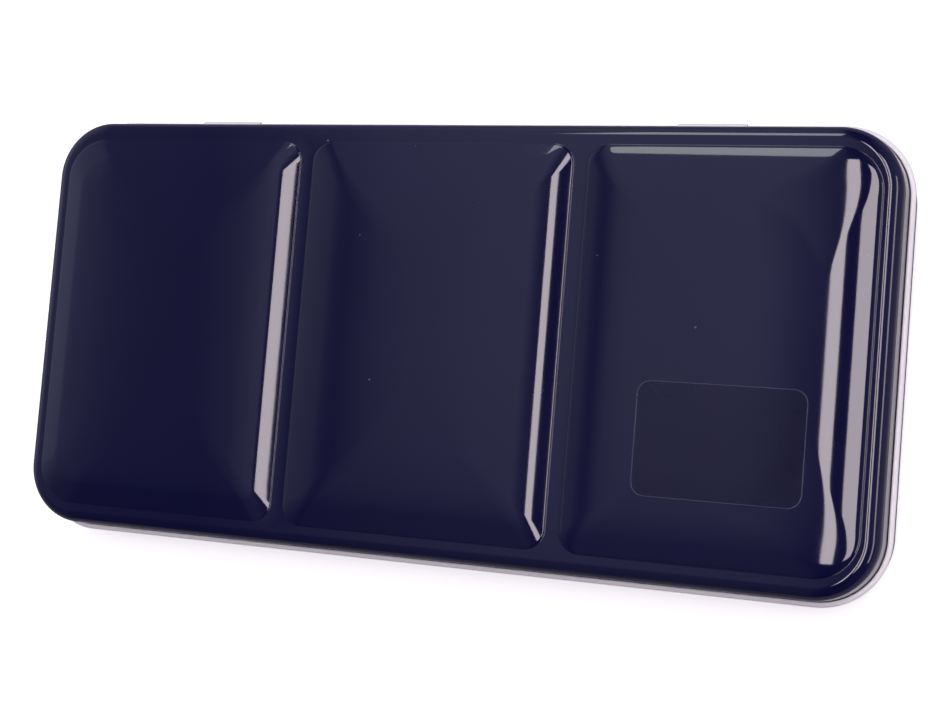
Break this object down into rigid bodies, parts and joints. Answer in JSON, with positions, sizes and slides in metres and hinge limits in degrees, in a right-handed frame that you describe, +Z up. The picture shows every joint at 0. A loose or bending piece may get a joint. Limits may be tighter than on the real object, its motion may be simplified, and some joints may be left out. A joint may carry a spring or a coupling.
{
  "type": "tin watercolour set",
  "caption": "Flat hinged enamelled tin of watercolours: navy lid with pressed mixing wells, white inside, racks of half pans with paint cakes, and a short brush",
  "frame": {"origin": "middle of the tin's underside, on the surface it lies on", "axes": "+X along the tin's length, to the right seen from the front; +Y to the back, where the hinge is; +Z up, out of the lid"},
  "size_m": [0.216, 0.1064, 0.0254],
  "materials": {
    "lid_enamel": "deep navy gloss stoving enamel on tinplate, white enamel inside",
    "base_enamel": "deep navy gloss stoving enamel on tinplate, white enamel inside",
    "label_film": "thin clear blank film, satin gloss",
    "rack_tinplate": "bright tinplate",
    "pan_plastic": "white moulded plastic, satin",
    "brush_lacquer": "dark lacquered birch, high gloss",
    "ferrule_nickel": "nickel-plated brass, polished",
    "brush_hair": "soft brown brush hair, slight sheen",
    "paint_titanium_white": "dry watercolour cake, matte with a slight gum sheen",
    "paint_lemon_yellow": "dry watercolour cake, matte with a slight gum sheen",
    "paint_cadmium_yellow": "dry watercolour cake, matte with a slight gum sheen",
    "paint_indian_yellow": "dry watercolour cake, matte with a slight gum sheen",
    "paint_cadmium_orange": "dry watercolour cake, matte with a slight gum sheen",
    "paint_vermilion_red": "dry watercolour cake, matte with a slight gum sheen",
    "paint_cadmium_red": "dry watercolour cake, matte with a slight gum sheen",
    "paint_alizarin_crimson": "dry watercolour cake, matte with a slight gum sheen",
    "paint_rose_madder": "dry watercolour cake, matte with a slight gum sheen",
    "paint_magenta": "dry watercolour cake, matte with a slight gum sheen",
    "paint_violet": "dry watercolour cake, matte with a slight gum sheen",
    "paint_ultramarine_violet": "dry watercolour cake, matte with a slight gum sheen",
    "paint_ultramarine_blue": "dry watercolour cake, matte with a slight gum sheen",
    "paint_cobalt_blue": "dry watercolour cake, matte with a slight gum sheen",
    "paint_cerulean_blue": "dry watercolour cake, matte with a slight gum sheen",
    "paint_prussian_blue": "dry watercolour cake, matte with a slight gum sheen",
    "paint_phthalo_blue": "dry watercolour cake, matte with a slight gum sheen",
    "paint_indigo": "dry watercolour cake, matte with a slight gum sheen",
    "paint_turquoise": "dry watercolour cake, matte with a slight gum sheen",
    "paint_cobalt_green": "dry watercolour cake, matte with a slight gum sheen",
    "paint_phthalo_green": "dry watercolour cake, matte with a slight gum sheen",
    "paint_viridian": "dry watercolour cake, matte with a slight gum sheen",
    "paint_sap_green": "dry watercolour cake, matte with a slight gum sheen",
    "paint_olive_green": "dry watercolour cake, matte with a slight gum sheen",
    "paint_naples_yellow": "dry watercolour cake, matte with a slight gum sheen",
    "paint_yellow_ochre": "dry watercolour cake, matte with a slight gum sheen",
    "paint_raw_sienna": "dry watercolour cake, matte with a slight gum sheen",
    "paint_burnt_sienna": "dry watercolour cake, matte with a slight gum sheen",
    "paint_english_red": "dry watercolour cake, matte with a slight gum sheen",
    "paint_burnt_umber": "dry watercolour cake, matte with a slight gum sheen",
    "paint_raw_umber": "dry watercolour cake, matte with a slight gum sheen",
    "paint_sepia": "dry watercolour cake, matte with a slight gum sheen",
    "paint_green_earth": "dry watercolour cake, matte with a slight gum sheen",
    "paint_neutral_grey": "dry watercolour cake, matte with a slight gum sheen",
    "paint_paynes_grey": "dry watercolour cake, matte with a slight gum sheen",
    "paint_ivory_black": "dry watercolour cake, matte with a slight gum sheen"
  },
  "bodies": {
    "base": {"base_tray": "base_enamel", "pan_rack_back": "rack_tinplate", "pan_rack_middle": "rack_tinplate", "pan_rack_front": "rack_tinplate", "half_pans_back_row": "pan_plastic", "half_pans_middle_row": "pan_plastic", "half_pans_front_row": "pan_plastic", "paint_cake_titanium_white": "paint_titanium_white", "paint_cake_lemon_yellow": "paint_lemon_yellow", "paint_cake_cadmium_yellow": "paint_cadmium_yellow", "paint_cake_indian_yellow": "paint_indian_yellow", "paint_cake_cadmium_orange": "paint_cadmium_orange", "paint_cake_vermilion_red": "paint_vermilion_red", "paint_cake_cadmium_red": "paint_cadmium_red", "paint_cake_alizarin_crimson": "paint_alizarin_crimson", "paint_cake_rose_madder": "paint_rose_madder", "paint_cake_magenta": "paint_magenta", "paint_cake_violet": "paint_violet", "paint_cake_ultramarine_violet": "paint_ultramarine_violet", "paint_cake_ultramarine_blue": "paint_ultramarine_blue", "paint_cake_cobalt_blue": "paint_cobalt_blue", "paint_cake_cerulean_blue": "paint_cerulean_blue", "paint_cake_prussian_blue": "paint_prussian_blue", "paint_cake_phthalo_blue": "paint_phthalo_blue", "paint_cake_indigo": "paint_indigo", "paint_cake_turquoise": "paint_turquoise", "paint_cake_cobalt_green": "paint_cobalt_green", "paint_cake_phthalo_green": "paint_phthalo_green", "paint_cake_viridian": "paint_viridian", "paint_cake_sap_green": "paint_sap_green", "paint_cake_olive_green": "paint_olive_green", "paint_cake_naples_yellow": "paint_naples_yellow", "paint_cake_yellow_ochre": "paint_yellow_ochre", "paint_cake_raw_sienna": "paint_raw_sienna", "paint_cake_burnt_sienna": "paint_burnt_sienna", "paint_cake_english_red": "paint_english_red", "paint_cake_burnt_umber": "paint_burnt_umber", "paint_cake_raw_umber": "paint_raw_umber", "paint_cake_sepia": "paint_sepia", "paint_cake_green_earth": "paint_green_earth", "paint_cake_neutral_grey": "paint_neutral_grey", "paint_cake_paynes_grey": "paint_paynes_grey", "paint_cake_ivory_black": "paint_ivory_black", "brush_handle": "brush_lacquer", "brush_ferrule": "ferrule_nickel", "brush_bristles": "brush_hair"},
    "lid": {"lid_shell": "lid_enamel", "blank_label": "label_film"}
  },
  "joints": [
    {"name": "lid_hinge", "type": "hinge", "parent": "base", "child": "lid", "pos_m": [0, 0.0522, 0.0127], "axis": [-1, 0, 0], "range_deg": [0, 180]}
  ]
}
